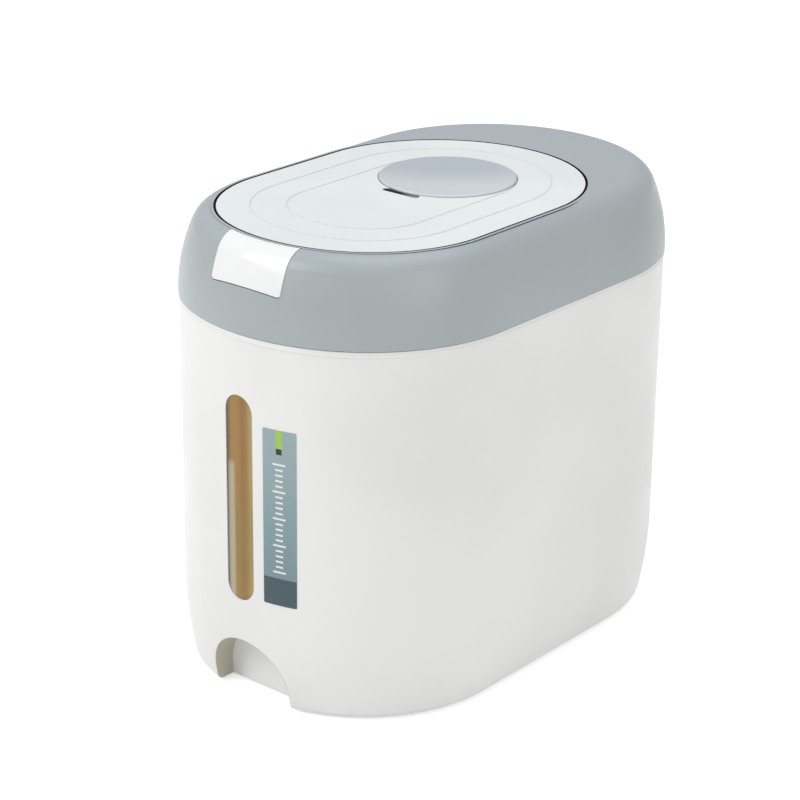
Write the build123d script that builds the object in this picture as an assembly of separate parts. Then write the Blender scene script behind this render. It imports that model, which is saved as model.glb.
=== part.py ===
from build123d import *
import math
import os

os.makedirs("parts", exist_ok=True)

# Flip-top rice bin. Millimetres, X to the right, Y to the rear, Z up.
# The origin is on the floor under the middle of the bin. The front faces -Y.

# ---- overall form ----
LENGTH = 334.0
WIDTH = 212.4
HEIGHT = 280.0
CORNER_TIGHTEN = 6.0      # front corner radius is this much under half the width
NOSE_FLATTEN = 12.0       # front nose radius is this much over half the width

# ---- bin body ----
BODY_BASE = 1.0           # underside of the bottom plate, held up by the feet
BODY_GAP = 0.6            # the body wall stands this far inside the collar's outline
BODY_WALL = 2.2
BOTTOM_PLATE = 2.6
BOTTOM_RUN = 9.6          # the bottom edge is rounded this far inwards
BOTTOM_RISE = 52.0        # and this far upwards
BOTTOM_EDGE_RADIUS = 5.0
BEAD_HEIGHT = 2.2
BEAD_PROUD = 0.45
BEAD_DROP = 1.6           # plain wall between the bead and the body's shoulder
NECK_CLEARANCE = 0.35     # neck to collar
NECK_RISE = 13.8          # neck above the collar's lower edge
SNAP_HEIGHT = 1.8
SNAP_PROUD = 0.5
SNAP_RISE = 5.0           # middle of the snap bead above the collar's lower edge
SNAP_CLEARANCE = 0.25

# ---- collar ----
COLLAR_BOTTOM = 230.2
COLLAR_WALL = 2.4
COLLAR_SEAM = 0.5         # gap between the collar's lower edge and the body's shoulder
SHOULDER_RUN = 22.0       # from the side wall inwards to the crest
SHOULDER_SIDE_RADIUS = 102.6
SEAL_HEIGHT = 2.0
STOP_RIB_HEIGHT = 2.2
STOP_RIB_RUN = 5.0

# ---- lid opening and mouth ----
LID_GAP = 1.5
LID_SIDE_INSET = 21.3     # lid edge to the collar's outline along the sides
LID_FRONT_INSET = 23.2
LID_REAR_Y = 95.5
POCKET_WALL = 2.0
LEDGE_TOP = 268.0
LEDGE_THICKNESS = 2.0
LEDGE_WIDTH = 12.3
RIM_WALL = 2.0
RIM_HEIGHT = 3.5
MOUTH_REAR_Y = 77.0

# ---- lid ----
LID_SKIN = 2.5
LID_SKIRT = 2.0
LID_SKIRT_BOTTOM = 270.0
LID_EDGE_ROUND = 0.3
LINER_TOP = 275.5
LINER_PLATE = 2.0
LINER_CLEARANCE = 0.4
SUPPORT_RIB_INSET = 4.0
SUPPORT_RIB = 2.0
GASKET_OUTSIDE = 1.2
GASKET_INSIDE = 1.2
LIP_WALL = 1.5
LIP_GAP = 0.25
LIP_HEIGHT = 2.4
PLUG_WALL = 1.8
PLUG_GAP = 1.4
PLUG_DEPTH = 9.5
LINE_INSETS = (19.7, 40.8)
LINE_WIDTH = 1.3
LINE_DEPTH = 0.45

# ---- insect repellent holder ----
DISC_RADIUS = 41.3
DISC_Y = 15.1
DISC_TOP = 281.2
DISC_THICKNESS = 2.0
DISC_DISH = 2.4
DISC_GAP = 0.6
SEAT_DEPTH = 1.2
SEAT_LEDGE = 2.9
WELL_RADIUS = 39.4
WELL_BOTTOM = 262.0
WELL_WALL = 1.6
CUP_RADIUS = 36.6
CUP_WALL = 1.5
CUP_BOTTOM = 263.0
CUP_TOP = 277.0
COVER_SKIRT_DEPTH = 6.0
COVER_SKIRT_WALL = 1.4
COVER_CUP_GAP = 0.2
FIT_CLEARANCE = 0.1
VENT_RADIUS = 2.2
VENT_RINGS = ((10.0, 6), (19.0, 12), (28.0, 16))
SCOOP_WIDTH = 27.0
SCOOP_REACH = 4.6
SCOOP_DEPTH = 3.4
SCOOP_WALL = 1.0
SCOOP_CORNER = 2.6

# ---- hinge ----
HINGE_BEHIND_LID = 20.0   # hinge axis behind the lid's rear edge
HINGE_BELOW_TOP = 6.5
PIN_RADIUS = 1.75
PIN_CLEARANCE = 0.08
PIN_HALF_LENGTH = 31.6
PIN_HEAD_RADIUS = 3.0
PIN_HEAD = 1.2
BOSS_RADIUS = 3.5
ARM_X = 18.0
ARM_WIDTH = 8.0
ARM_INNER = 25.5
ARM_OUTER = 30.5
ARM_END_ANGLE = 284.0
ARM_STEM = 6.0
ARM_FOOT_REACH = 5.4
ARM_FOOT = 3.0
ARM_SLOT_CLEARANCE = 1.2
BRACKET_PLATE = 2.5
BRACKET_RISE = 5.1
BRACKET_HALF_WIDTH = 36.0
BRACKET_FRONT_Y = 122.0
BRACKET_REAR_Y = 134.5
LUG_POSITIONS = (-27.0, 0.0, 27.0)
LUG_WIDTH = 6.0
BRACKET_SCREW_X = 30.0
SPRING_WIRE = 1.0
SPRING_RADIUS = 2.7
SPRING_PITCH = 1.5
SPRING_TURNS = 5
SPRING_START_X = 4.9
SPRING_LEG = 6.2
CLIP_RADIUS = 3.6
CLIP_THICKNESS = 0.8
CLIP_MOUTH = 2.6
COVER_HALF_WIDTH = 41.0
COVER_FRONT_Y = 80.6
COVER_REAR_Y = 148.0
COVER_WALL = 2.0
COVER_FLOOR = 239.6
COVER_INSET = 18.0        # the cover's rear corners keep this far inside the collar's outline
COVER_TOP_GAP = 0.8
POST_X = 22.0
POST_Y = 138.6
POST_RADIUS = 3.5

# ---- push button and latch ----
BUTTON_HALF_WIDTH = 25.7
BUTTON_BOTTOM = 257.0
BUTTON_CORNER = 2.5
BUTTON_PROUD = 0.3
BUTTON_SKIN = 2.0
BUTTON_GAP = 0.4
BUTTON_SKIRT = 1.8
BUTTON_SKIRT_DEPTH = 3.0
BUTTON_UNDERCUT = 36.0    # the button's lower face falls inwards at this angle
PIVOT_Y = -150.5          # the button rocks on two trunnions
PIVOT_Z = 271.8
TRUNNION_RADIUS = 1.2
TRUNNION_LENGTH = 2.2
TRUNNION_CLEARANCE = 0.06
TRUNNION_BOSS = 2.8
BUTTON_SWING = 8.0        # degrees
LUG_HALF_WIDTH = 8.0      # the lug behind the button that carries the latch plate
LUG_BOTTOM = 259.0
STAKE_RADIUS = 0.9
STAKE_X = 5.0
STAKE_Z = 262.7
STAKE_HEAD = 0.6
LATCH_FRONT_Y = -158.0
LATCH_BAR = 5.0
LATCH_BAR_HALF_WIDTH = 17.5
LATCH_BAR_BOTTOM = 258.4
LATCH_BAR_TOP = 264.0
LATCH_PLATE_BOTTOM = 259.0
LATCH_PLATE = 2.5
TONGUE_HALF_WIDTH = 9.0
TONGUE_REAR = 3.9
CATCH_OVERLAP = 1.2
STRIKE_FRONT_Y = -140.9
STRIKE_THICKNESS = 2.3
STRIKE_HALF_WIDTH = 5.5
TOOTH_REACH = 2.4
TOOTH_HEIGHT = 3.2
TOOTH_CLEARANCE = 0.3
STRIKE_BASE = 2.2
STRIKE_BASE_HALF_WIDTH = 12.0
WINDOW_SIDE_GAP = 0.9
WINDOW_FRONT_GAP = 3.3
HOUSING_FLOOR = 252.5
HOUSING_WALL = 2.0
HOUSING_HALF_WIDTH = 23.0
HOUSING_FRONT_Y = -153.6
HOUSING_REAR_Y = -128.8
HOUSING_TOP = 264.0
RAIL_GAP = 0.15
LATCH_SPRING_X = 13.5
LATCH_SPRING_LENGTH = 9.0
LATCH_SPRING_RADIUS = 2.1
LATCH_SPRING_WIRE = 0.5
LATCH_SPRING_TURNS = 5
SPRING_RIB = 2.0
HOUSING_SCREW_X = 20.0
HOUSING_SCREW_Y = -136.5

# ---- front window, label and pull recess ----
SLOT_X = -1.6
SLOT_WIDTH = 20.5
SLOT_BOTTOM = 66.5
SLOT_TOP = 193.2
LENS_CLEARANCE = 0.15
LENS_RECESS = 0.5
LENS_FLANGE = 5.0
LENS_FLANGE_THICKNESS = 1.6
WINDOW_GASKET = 1.0
WINDOW_GASKET_WIDTH = 4.0
RETAINER_WIDTH = 8.0
RETAINER_THICKNESS = 2.0
STUD_RADIUS = 1.5
STUD_COUNT = 4
LABEL_X = 26.6
LABEL_WIDTH = 20.8
LABEL_BOTTOM = 70.6
LABEL_TOP = 178.6
LABEL_THICKNESS = 0.3
LABEL_CORNER = 0.8
RECESS_HALF_WIDTH = 29.2
RECESS_TOP = 40.3
RECESS_DEPTH = 22.5

# ---- feet and screws ----
FOOT_RADIUS = 9.0
FOOT_HEIGHT = 2.0
FOOT_X = 66.0
FOOT_FRONT_Y = -95.0
FOOT_REAR_Y = 100.0
SCREW_RADIUS = 1.3
SCREW_HEAD_RADIUS = 2.5
SCREW_HEAD = 1.5
SCREW_BITE = 3.0
SCREW_BOSS = 3.4
LINER_SCREWS = ((-40, 54), (40, 54), (-60, -25), (60, -25), (-42, -105), (42, -105))

# ---- sizes that follow ----
UP = Vector(0, 0, 1)
HALF_WIDTH = WIDTH / 2
FRONT_Y = -LENGTH / 2
REAR_Y = LENGTH / 2
NOSE_RADIUS = HALF_WIDTH + NOSE_FLATTEN
NOSE_CENTRE_Y = FRONT_Y + NOSE_RADIUS
BODY_TOP = COLLAR_BOTTOM - COLLAR_SEAM
NECK_TOP = COLLAR_BOTTOM + NECK_RISE
SHOULDER_RISE = HEIGHT - COLLAR_BOTTOM
SHOULDER_TOP_RADIUS = (
    SHOULDER_RUN**2 + SHOULDER_RISE**2 - 2 * SHOULDER_RUN * SHOULDER_SIDE_RADIUS
) / (2 * (SHOULDER_RISE - SHOULDER_SIDE_RADIUS))
LEDGE_BOTTOM = LEDGE_TOP - LEDGE_THICKNESS
RIM_TOP = LEDGE_TOP + RIM_HEIGHT
LID_UNDERSIDE = HEIGHT - LID_SKIN
LINER_BOTTOM = LINER_TOP - LINER_PLATE
HINGE_Y = LID_REAR_Y + HINGE_BEHIND_LID
HINGE_Z = HEIGHT - HINGE_BELOW_TOP
PLATEAU_UNDERSIDE = HEIGHT - COLLAR_WALL
BRACKET_TOP = PLATEAU_UNDERSIDE - BRACKET_RISE
BRACKET_BOTTOM = BRACKET_TOP - BRACKET_PLATE
COVER_INSIDE_FLOOR = COVER_FLOOR + COVER_WALL
SEAT_Z = HEIGHT - SEAT_DEPTH
SCOOP_Z = HEIGHT - SCOOP_DEPTH
UNDERCUT_RUN = math.cos(math.radians(BUTTON_UNDERCUT))
UNDERCUT_FALL = math.sin(math.radians(BUTTON_UNDERCUT))
LATCH_STROKE = (PIVOT_Z - LATCH_BAR_BOTTOM) * math.sin(math.radians(BUTTON_SWING))
TOOTH_TIP_Y = STRIKE_FRONT_Y + STRIKE_THICKNESS + TOOTH_REACH
CATCH_Y = TOOTH_TIP_Y - CATCH_OVERLAP
TONGUE_END_Y = CATCH_Y + TONGUE_REAR
TOOTH_TOP = LATCH_PLATE_BOTTOM - TOOTH_CLEARANCE
BODY_INNER = BODY_GAP + BODY_WALL


class Oval:
    """A plan outline with a round rear end, straight sides and a blunt front end."""

    def __init__(self, half_width, front, rear):
        self.half_width = half_width
        self.front = front
        self.rear = rear
        self.corner = half_width - CORNER_TIGHTEN
        self.nose = half_width + NOSE_FLATTEN
        reach = math.sqrt((CORNER_TIGHTEN + NOSE_FLATTEN) ** 2 - CORNER_TIGHTEN**2)
        self.nose_y = front + self.nose
        self.corner_y = self.nose_y - reach
        self.rear_y = rear - half_width
        self.corner_sweep = math.degrees(math.atan2(reach, CORNER_TIGHTEN))

    def inset(self, distance):
        return Oval(self.half_width - distance, self.front + distance, self.rear - distance)

    def arcs(self):
        """Centre, radius, start angle and sweep of each arc, anticlockwise."""
        swing = self.corner_sweep
        left = Vector(-CORNER_TIGHTEN, self.corner_y)
        right = Vector(CORNER_TIGHTEN, self.corner_y)
        return [
            (Vector(0, self.rear_y), self.half_width, 0, 180),
            (left, self.corner, 180, swing),
            (Vector(0, self.nose_y), self.nose, 180 + swing, 180 - 2 * swing),
            (right, self.corner, 360 - swing, swing),
        ]

    def sides(self):
        """Start, direction of travel and outward direction of each straight side."""
        length = self.rear_y - self.corner_y
        left = (Vector(-self.half_width, self.rear_y), Vector(0, -1), Vector(-1, 0), length)
        right = (Vector(self.half_width, self.corner_y), Vector(0, 1), Vector(1, 0), length)
        return [left, right]

    def face(self):
        edges = [
            CenterArc(centre, radius, start, sweep) for centre, radius, start, sweep in self.arcs()
        ]
        for start, travel, _, length in self.sides():
            edges.append(Line(start, start + travel * length))
        return make_face(edges)

    def solid(self, bottom, top):
        return Pos(0, 0, bottom) * extrude(self.face(), amount=top - bottom)

    def ring(self, depth, bottom, top):
        return self.solid(bottom, top) - self.inset(depth).solid(bottom, top)

    def swept(self, section):
        """Sweep a section drawn as (inset, height) all the way round the outline."""
        pieces = []
        for centre, radius, start, sweep in self.arcs():
            angle = math.radians(start)
            outward = Vector(math.cos(angle), math.sin(angle))
            pieces.append(turned(section, centre, radius, outward, sweep))
        for start, travel, outward, length in self.sides():
            plane = section_plane(start, outward)
            pieces.append(extrude(plane * section, amount=length, dir=travel))
        return fused(pieces)


def section_plane(point, outward):
    inward = outward * -1
    return Plane(origin=point, x_dir=inward, z_dir=inward.cross(UP))


def turned(section, centre, radius, outward, sweep):
    plane = section_plane(centre + outward * radius, outward)
    return revolve(plane * section, axis=Axis(centre, UP), revolution_arc=sweep)


def fused(pieces):
    whole = pieces[0]
    for piece in pieces[1:]:
        whole = whole + piece
    return whole


def block(x0, x1, y0, y1, z0, z1):
    return Pos((x0 + x1) / 2, (y0 + y1) / 2, (z0 + z1) / 2) * Box(x1 - x0, y1 - y0, z1 - z0)


def post(x, y, radius, z0, z1):
    return Pos(x, y, (z0 + z1) / 2) * Cylinder(radius, z1 - z0)


def rod(x0, x1, y, z, radius):
    """A round bar along X."""
    return Pos((x0 + x1) / 2, y, z) * Rot(0, 90, 0) * Cylinder(radius, x1 - x0)


def polygon(points):
    return make_face(Polyline(*points, close=True))


def across(face, half_width, x=0.0):
    """A face drawn as (y, z), extruded evenly to both sides of x."""
    return Pos(x, 0, 0) * extrude(Plane.YZ * face, amount=half_width, both=True)


def arc_edge(centre, radius, start, end):
    middle = ((start - centre) + (end - centre)).normalized() * radius + centre
    return ThreePointArc(start, middle, end)


def oval_quarter(start, corner, end, first_radius):
    """Two tangent arcs from start to end, square to the sides that meet at the corner."""
    along = end - corner
    back = start - corner
    run = along.length
    rise = back.length
    last_radius = (run**2 + rise**2 - 2 * run * first_radius) / (2 * (rise - first_radius))
    first_centre = start + along.normalized() * first_radius
    last_centre = end + back.normalized() * last_radius
    reach = last_centre - first_centre
    meet = first_centre + reach * (first_radius / (first_radius - last_radius))
    return [
        arc_edge(first_centre, first_radius, start, meet),
        arc_edge(last_centre, last_radius, meet, end),
    ]


def body_bottom_edges(depth):
    """The rounded bottom edge of the body at a depth into its wall."""
    side_radius = (BOTTOM_RUN**2 + BOTTOM_RISE**2 - 2 * BOTTOM_RISE * BOTTOM_EDGE_RADIUS) / (
        2 * (BOTTOM_RUN - BOTTOM_EDGE_RADIUS)
    )
    base = BODY_BASE + depth
    return oval_quarter(
        Vector(BODY_GAP + depth, BODY_BASE + BOTTOM_RISE),
        Vector(BODY_GAP + depth, base),
        Vector(BODY_GAP + BOTTOM_RUN, base),
        side_radius - depth,
    )


def shoulder_edges(depth):
    """The collar's outer line at a depth under its surface, from the lower edge to the crest."""
    return oval_quarter(
        Vector(depth, COLLAR_BOTTOM),
        Vector(depth, HEIGHT - depth),
        Vector(SHOULDER_RUN, HEIGHT - depth),
        SHOULDER_SIDE_RADIUS - depth,
    )


def shoulder_band(near, far):
    """The region between two depths under the collar's surface."""
    outer = shoulder_edges(near)
    inner = shoulder_edges(far)
    foot = Line(outer[0] @ 0, inner[0] @ 0)
    crest = Line(outer[1] @ 1, inner[1] @ 1)
    return make_face([*outer, crest, *inner, foot])


def shoulder_inset(z):
    rise = z - COLLAR_BOTTOM
    return SHOULDER_SIDE_RADIUS - math.sqrt(SHOULDER_SIDE_RADIUS**2 - rise**2)


def shoulder_height(inset):
    run = SHOULDER_RUN - inset
    return HEIGHT - SHOULDER_TOP_RADIUS + math.sqrt(SHOULDER_TOP_RADIUS**2 - run**2)


def nose_slab(near, far, outline, bottom=0.0, top=HEIGHT):
    """Wall that follows the curved front between two insets, cut to a front view outline."""
    height = top - bottom
    shell = Cylinder(NOSE_RADIUS - near, height) - Cylinder(NOSE_RADIUS - far, height)
    shell = Pos(0, NOSE_CENTRE_Y, bottom + height / 2) * shell
    return shell & extrude(Plane.XZ * outline, amount=LENGTH)


def helix_path(start, axis, radius_vector, pitch, turns):
    """A coil's centre line, as smooth pairs of arcs over each half turn."""
    side = axis.cross(radius_vector)
    rise = axis * (pitch / 2)
    half_turn = math.pi * radius_vector.length
    edges = []
    point = start
    sign = 1
    for _ in range(2 * turns):
        end = point - radius_vector * (2 * sign) + rise
        leave = (side.normalized() * (half_turn * sign) + rise).normalized()
        arrive = (side.normalized() * (-half_turn * sign) + rise).normalized()
        edges.extend(biarc(point, leave, end, arrive))
        point = end
        sign = -sign
    return edges


def biarc(start, leave, end, arrive):
    """Two arcs that meet smoothly, with given directions at both ends."""
    chord = end - start
    lean = leave + arrive
    spread = 2 * (1 - leave.dot(arrive))
    reach = -chord.dot(lean) + math.sqrt(chord.dot(lean) ** 2 + spread * chord.dot(chord))
    reach = reach / spread
    meet = (start + end + (leave - arrive) * reach) * 0.5
    first = TangentArc(start, meet, tangent=leave)
    last = TangentArc(end, meet, tangent=arrive * -1)
    return [first, last]


def wire_form(edges, wire_radius):
    path = Wire(edges)
    section = Plane(origin=path @ 0, z_dir=path % 0) * Circle(wire_radius)
    return sweep(section, path=path)


def screw(x, y, head_bottom, bite_top):
    """A self-tapping screw driven upwards, with a slotted pan head."""
    head = post(x, y, SCREW_HEAD_RADIUS, head_bottom, head_bottom + SCREW_HEAD)
    slot = block(
        x - SCREW_HEAD_RADIUS,
        x + SCREW_HEAD_RADIUS,
        y - SCREW_RADIUS / 4,
        y + SCREW_RADIUS / 4,
        head_bottom,
        head_bottom + SCREW_HEAD / 2,
    )
    return head - slot + post(x, y, SCREW_RADIUS, head_bottom + SCREW_HEAD, bite_top)


def screw_hole(x, y, z0, z1):
    return post(x, y, SCREW_RADIUS, z0, z1)


BODY = Oval(HALF_WIDTH, FRONT_Y, REAR_Y)
SEAL_TOP = NECK_TOP + SEAL_HEIGHT
STOP_TOP = SEAL_TOP + STOP_RIB_HEIGHT
NECK_INSET = COLLAR_WALL + shoulder_inset(SEAL_TOP) + NECK_CLEARANCE
SNAP_MIDDLE = COLLAR_BOTTOM + SNAP_RISE
SNAP_GROOVE_INSET = COLLAR_WALL + shoulder_inset(SNAP_MIDDLE) - SNAP_PROUD
LID = Oval(HALF_WIDTH - LID_SIDE_INSET, FRONT_Y + LID_FRONT_INSET, LID_REAR_Y)
POCKET = LID.inset(-LID_GAP)
MOUTH = Oval(POCKET.half_width - LEDGE_WIDTH, POCKET.front + LEDGE_WIDTH, MOUTH_REAR_Y)


def arch(half_width, top):
    round_part = Pos(0, top - half_width) * Circle(half_width)
    jambs = Pos(0, (top - half_width) / 2 - half_width / 2) * Rectangle(2 * half_width, top)
    return round_part + jambs


def slot_outline(grow):
    height = SLOT_TOP - SLOT_BOTTOM + 2 * grow
    width = SLOT_WIDTH + 2 * grow
    middle = (SLOT_TOP + SLOT_BOTTOM) / 2
    return Pos(SLOT_X, middle) * SlotOverall(height, width, rotation=90)


def stud_positions():
    """Heat stake studs beside the window, the same distance apart on both sides."""
    offset = SLOT_WIDTH / 2 + (LENS_FLANGE + RETAINER_WIDTH) / 2
    straight = SLOT_TOP - SLOT_BOTTOM - SLOT_WIDTH
    for index in range(STUD_COUNT):
        z = SLOT_BOTTOM + SLOT_WIDTH / 2 + straight * (index + 0.5) / STUD_COUNT
        for side in (-1, 1):
            yield SLOT_X + side * offset, z


def bin_body():
    base_inset = BODY_GAP + BOTTOM_RUN
    bead_middle = BODY_TOP - BEAD_HEIGHT / 2 - BEAD_DROP
    bead_low = Vector(BODY_GAP, bead_middle - BEAD_HEIGHT / 2)
    bead_high = Vector(BODY_GAP, bead_middle + BEAD_HEIGHT / 2)
    outer = body_bottom_edges(0)
    inner = body_bottom_edges(BODY_WALL)
    neck_inner = NECK_INSET + BODY_WALL
    neck_root = BODY_TOP - BODY_WALL
    wall = make_face(
        [
            *outer,
            Line(outer[0] @ 0, bead_low),
            ThreePointArc(bead_low, Vector(BODY_GAP - BEAD_PROUD, bead_middle), bead_high),
            Polyline(
                bead_high,
                (BODY_GAP, BODY_TOP),
                (NECK_INSET, BODY_TOP),
                (NECK_INSET, SNAP_MIDDLE - SNAP_HEIGHT / 2),
                (SNAP_GROOVE_INSET + SNAP_CLEARANCE, SNAP_MIDDLE),
                (NECK_INSET, SNAP_MIDDLE + SNAP_HEIGHT / 2),
                (NECK_INSET, NECK_TOP),
                (neck_inner, NECK_TOP),
                (neck_inner, neck_root),
                (BODY_INNER, neck_root - (neck_inner - BODY_INNER)),
                inner[0] @ 0,
            ),
            *inner,
            Line(inner[1] @ 1, outer[1] @ 1),
        ]
    )
    plate = BODY.inset(base_inset).solid(BODY_BASE, BODY_BASE + BOTTOM_PLATE)
    body = BODY.swept(wall) + plate
    recess_back = FRONT_Y + RECESS_DEPTH
    recess_lining = across_front(
        arch(RECESS_HALF_WIDTH + BODY_WALL, RECESS_TOP + BODY_WALL), recess_back + BODY_WALL
    )
    body = body + (recess_lining & filled_body())
    body = body - across_front(arch(RECESS_HALF_WIDTH, RECESS_TOP), recess_back)
    body = body - nose_slab(-1, BODY_INNER + 1, slot_outline(0))
    stud_tip = BODY_INNER + WINDOW_GASKET + LENS_FLANGE_THICKNESS + RETAINER_THICKNESS
    for x, z in stud_positions():
        stud = nose_slab(BODY_INNER - 1, stud_tip, Pos(x, z) * Circle(STUD_RADIUS))
        body = body + stud
    for x, y in foot_positions():
        body = body - post(x, y, FOOT_RADIUS, 0, FOOT_HEIGHT)
    return body


def across_front(outline, back_y):
    """A front view outline, extruded forwards from a plane."""
    return Pos(0, back_y, 0) * extrude(Plane.XZ * outline, amount=back_y - FRONT_Y + 10)


def filled_body():
    """The body's outer form below its shoulder, with no hollow."""
    edges = body_bottom_edges(0)
    core = BODY_GAP + BOTTOM_RUN
    top = BODY_BASE + BOTTOM_RISE
    close = Polyline(edges[0] @ 0, (core, top), edges[1] @ 1)
    return BODY.swept(make_face([*edges, close])) + BODY.inset(core).solid(BODY_BASE, top)


def foot_positions():
    return [
        (x, y) for y in (FOOT_FRONT_Y, FOOT_REAR_Y) for x in (-FOOT_X, FOOT_X)
    ]


def feet():
    return Compound([post(x, y, FOOT_RADIUS, 0, FOOT_HEIGHT) for x, y in foot_positions()])


def button_space(gap):
    """The room for the button, grown by a gap, in front of the lid pocket's wall."""
    ahead = SHOULDER_RUN / 2
    half_height = HEIGHT - BUTTON_BOTTOM + gap / UNDERCUT_RUN
    outline = RectangleRounded(2 * (BUTTON_HALF_WIDTH + gap), 2 * half_height, BUTTON_CORNER + gap)
    lip_y = FRONT_Y + shoulder_inset(BUTTON_BOTTOM)
    start = Vector(0, lip_y - ahead * UNDERCUT_RUN, HEIGHT + ahead * UNDERCUT_FALL)
    face = Plane(origin=start, x_dir=(1, 0, 0), z_dir=(0, -1, 0)) * outline
    inwards = Vector(0, UNDERCUT_RUN, -UNDERCUT_FALL)
    space = extrude(face, amount=ahead + SHOULDER_RUN + LEDGE_WIDTH, dir=inwards)
    wall = POCKET.inset(gap - BUTTON_GAP - POCKET_WALL)
    return space - wall.solid(COLLAR_BOTTOM, HEIGHT + SHOULDER_RISE)


def pivot_boss(x0, x1, radius):
    """A round boss on the button's pivot line, carried up into the wall above it."""
    boss = rod(x0, x1, PIVOT_Y, PIVOT_Z, radius)
    return boss + block(x0, x1, PIVOT_Y - radius, PIVOT_Y + radius, PIVOT_Z, HEIGHT)


def front_band(near, far):
    """Part of the shoulder band round the nose, wide enough for the button."""
    angle = 2 * math.degrees(math.asin(BUTTON_HALF_WIDTH / NOSE_RADIUS))
    centre = Vector(0, NOSE_CENTRE_Y)
    start = math.radians(270 - angle)
    outward = Vector(math.cos(start), math.sin(start))
    return turned(shoulder_band(near, far), centre, NOSE_RADIUS, outward, 2 * angle)


def collar():
    shell = BODY.swept(shoulder_band(0, COLLAR_WALL))
    plateau = BODY.inset(SHOULDER_RUN).solid(PLATEAU_UNDERSIDE, HEIGHT)
    pocket_wall = POCKET.inset(-POCKET_WALL).solid(LEDGE_BOTTOM, HEIGHT)
    body = shell + plateau + pocket_wall - POCKET.solid(LEDGE_TOP, HEIGHT)
    opening = MOUTH.inset(RIM_WALL)
    body = body + MOUTH.solid(LEDGE_BOTTOM, RIM_TOP) - opening.solid(LEDGE_BOTTOM, RIM_TOP)
    stop_root = shoulder_inset(STOP_TOP) + COLLAR_WALL / 2
    stop = polygon(
        [
            (stop_root, SEAL_TOP),
            (COLLAR_WALL + STOP_RIB_RUN, SEAL_TOP),
            (COLLAR_WALL + STOP_RIB_RUN, STOP_TOP),
            (stop_root, STOP_TOP),
        ]
    )
    groove_half = SNAP_HEIGHT / 2 + SNAP_CLEARANCE
    groove = polygon(
        [
            (NECK_INSET, SNAP_MIDDLE - groove_half),
            (SNAP_GROOVE_INSET, SNAP_MIDDLE - SNAP_CLEARANCE),
            (SNAP_GROOVE_INSET, SNAP_MIDDLE + SNAP_CLEARANCE),
            (NECK_INSET, SNAP_MIDDLE + groove_half),
        ]
    )
    body = body + BODY.swept(stop) - BODY.swept(groove)
    body = body - button_space(BUTTON_GAP)
    boss_inner = BUTTON_HALF_WIDTH + BUTTON_GAP
    boss_outer = boss_inner + TRUNNION_LENGTH + COLLAR_WALL / 2
    for side in (-1, 1):
        x0, x1 = sorted((side * boss_inner, side * boss_outer))
        body = body + (pivot_boss(x0, x1, TRUNNION_BOSS) - outside_skin(COLLAR_WALL / 2))
        x0, x1 = sorted((side * boss_inner, side * (boss_inner + TRUNNION_LENGTH)))
        body = body - rod(x0, x1, PIVOT_Y, PIVOT_Z, TRUNNION_RADIUS + TRUNNION_CLEARANCE)
    slot_half = ARM_WIDTH / 2 + ARM_SLOT_CLEARANCE
    for side in (-1, 1):
        x = side * ARM_X
        body = body - block(
            x - slot_half,
            x + slot_half,
            HINGE_Y - ARM_OUTER - ARM_SLOT_CLEARANCE,
            HINGE_Y,
            LEDGE_BOTTOM,
            PLATEAU_UNDERSIDE,
        )
    strike_slot = block(
        -STRIKE_HALF_WIDTH - WINDOW_SIDE_GAP,
        STRIKE_HALF_WIDTH + WINDOW_SIDE_GAP,
        STRIKE_FRONT_Y - WINDOW_SIDE_GAP,
        TOOTH_TIP_Y + WINDOW_SIDE_GAP,
        LEDGE_BOTTOM,
        LEDGE_TOP,
    )
    body = body - strike_slot
    for x, y in bracket_screws():
        body = body + post(x, y, SCREW_BOSS, BRACKET_TOP, PLATEAU_UNDERSIDE)
        body = body - screw_hole(x, y, BRACKET_TOP, HEIGHT - SCREW_HEAD)
    for x, y in cover_screws():
        body = body + post(x, y, POST_RADIUS, COVER_INSIDE_FLOOR, PLATEAU_UNDERSIDE)
        body = body - screw_hole(x, y, COVER_INSIDE_FLOOR, COVER_INSIDE_FLOOR + SCREW_BITE * 2)
    for x, y in housing_screws():
        body = body + post(x, y, SCREW_BOSS, HOUSING_TOP, LEDGE_BOTTOM)
        body = body - screw_hole(x, y, HOUSING_TOP, LEDGE_TOP - SCREW_RADIUS / 2)
    return body


def collar_seal():
    return BODY.inset(NECK_INSET).ring(BODY_WALL, NECK_TOP, SEAL_TOP)


def lid_panel():
    skin = chamfered_top(LID.solid(LID_SKIRT_BOTTOM, HEIGHT))
    panel = skin - LID.inset(LID_SKIRT).solid(LID_SKIRT_BOTTOM, LID_UNDERSIDE)
    panel = panel + LID.inset(SUPPORT_RIB_INSET).ring(SUPPORT_RIB, LINER_TOP, LID_UNDERSIDE)
    for inset in LINE_INSETS:
        line = LID.inset(inset - LINE_WIDTH / 2)
        panel = panel - line.ring(LINE_WIDTH, HEIGHT - LINE_DEPTH, HEIGHT)
    well_ring = post(0, DISC_Y, WELL_RADIUS + WELL_WALL, LINER_TOP, LID_UNDERSIDE)
    well_ring = well_ring - post(0, DISC_Y, WELL_RADIUS, LINER_TOP, LID_UNDERSIDE)
    panel = panel + well_ring + (scoop_form(SCOOP_WALL) & LID.solid(LINER_TOP, SEAT_Z))
    panel = panel - post(0, DISC_Y, DISC_RADIUS + DISC_GAP, SEAT_Z, HEIGHT)
    panel = panel - post(0, DISC_Y, DISC_RADIUS - SEAT_LEDGE, LID_UNDERSIDE, HEIGHT)
    panel = panel - scoop_form(0)
    for x, y in LINER_SCREWS:
        panel = panel + post(x, y, SCREW_BOSS, LINER_TOP, LID_UNDERSIDE)
        panel = panel - screw_hole(x, y, LINER_TOP, HEIGHT - SCREW_HEAD)
    return panel


def chamfered_top(solid):
    top = solid.faces().sort_by(Axis.Z)[-1]
    return fillet(top.edges(), LID_EDGE_ROUND)


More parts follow.
